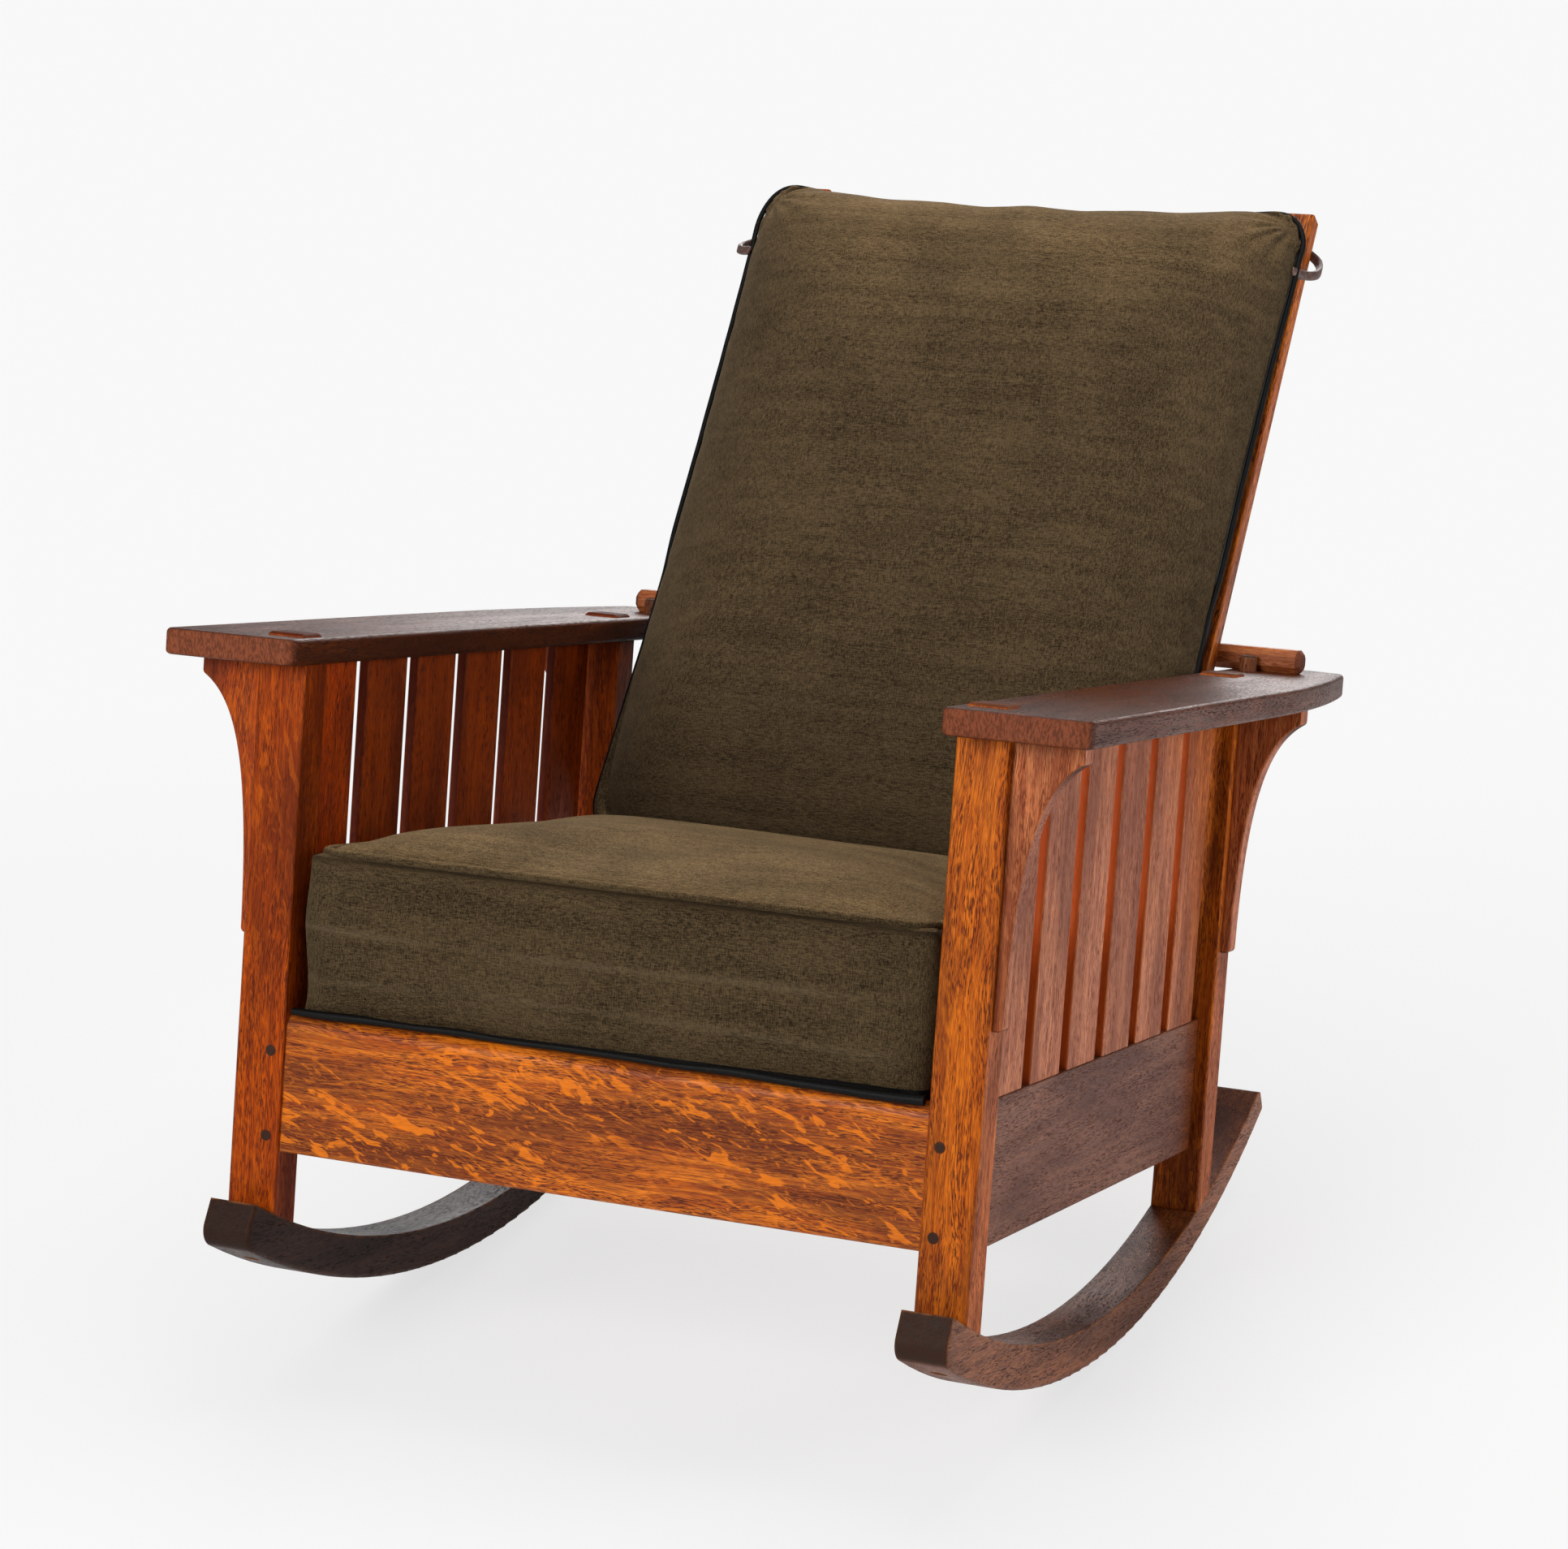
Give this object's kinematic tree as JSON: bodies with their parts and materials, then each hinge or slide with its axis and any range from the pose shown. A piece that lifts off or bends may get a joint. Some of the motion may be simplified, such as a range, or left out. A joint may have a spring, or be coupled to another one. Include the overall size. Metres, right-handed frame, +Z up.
{
  "type": "rocking chair",
  "caption": "Oak mission rocking chair with flat arms, slatted sides, bowed rockers, a reclining back on a loose cross bar, and loose seat and back cushions.",
  "frame": {"origin": "on the floor, under the middle of the chair's box, with the chair resting on its rockers", "axes": "+X to the right as seen from the front, +Y to the back of the chair, +Z up"},
  "size_m": [0.81, 1.1393, 0.8999],
  "materials": {
    "oak": "satin",
    "dark_oak": "satin",
    "deck_wood": "matte",
    "screw_steel": "matte",
    "chenille": "matte",
    "leather": "satin"
  },
  "bodies": {
    "root": {"front_leg_left": "oak", "front_leg_right": "oak", "rear_leg_left": "oak", "rear_leg_right": "oak", "arm_left": "dark_oak", "arm_right": "dark_oak", "front_corbel_left": "oak", "front_corbel_right": "oak", "rear_corbel_left": "oak", "rear_corbel_right": "oak", "front_rail": "oak", "rear_rail": "oak", "side_rail_left": "oak", "side_rail_right": "oak", "slat_left_1": "oak", "slat_left_2": "oak", "slat_left_3": "oak", "slat_left_4": "oak", "slat_left_5": "oak", "slat_left_6": "oak", "slat_right_1": "oak", "slat_right_2": "oak", "slat_right_3": "oak", "slat_right_4": "oak", "slat_right_5": "oak", "slat_right_6": "oak", "rocker_left": "dark_oak", "rocker_right": "dark_oak", "rocker_screws": "screw_steel", "leg_pins": "dark_oak", "seat_cleat_left": "deck_wood", "seat_cleat_right": "deck_wood", "seat_board_1": "deck_wood", "seat_board_2": "deck_wood", "seat_board_3": "deck_wood", "seat_board_4": "deck_wood", "seat_board_5": "deck_wood", "pivot_pin_left": "oak", "pivot_pin_right": "oak", "bar_pegs": "oak", "seat_cushion": "chenille"},
    "back": {"back_post_left": "oak", "back_post_right": "oak", "back_slat_1": "oak", "back_slat_2": "oak", "back_slat_3": "oak", "back_slat_4": "oak", "back_slat_5": "oak", "back_cushion": "chenille", "cushion_loop_left": "leather", "cushion_loop_right": "leather"},
    "support_bar": {"support_bar": "oak"}
  },
  "joints": [
    {"name": "back_tilt", "type": "hinge", "parent": "root", "child": "back", "pos_m": [0, 0.00682, 0.19511], "axis": [1, 0, 0], "range_deg": [0, 8]},
    {"name": "bar_lift", "type": "slide", "parent": "root", "child": "support_bar", "axis": [0, 0.6311, 0.7757], "range_m": [0, 0.06]}
  ]
}
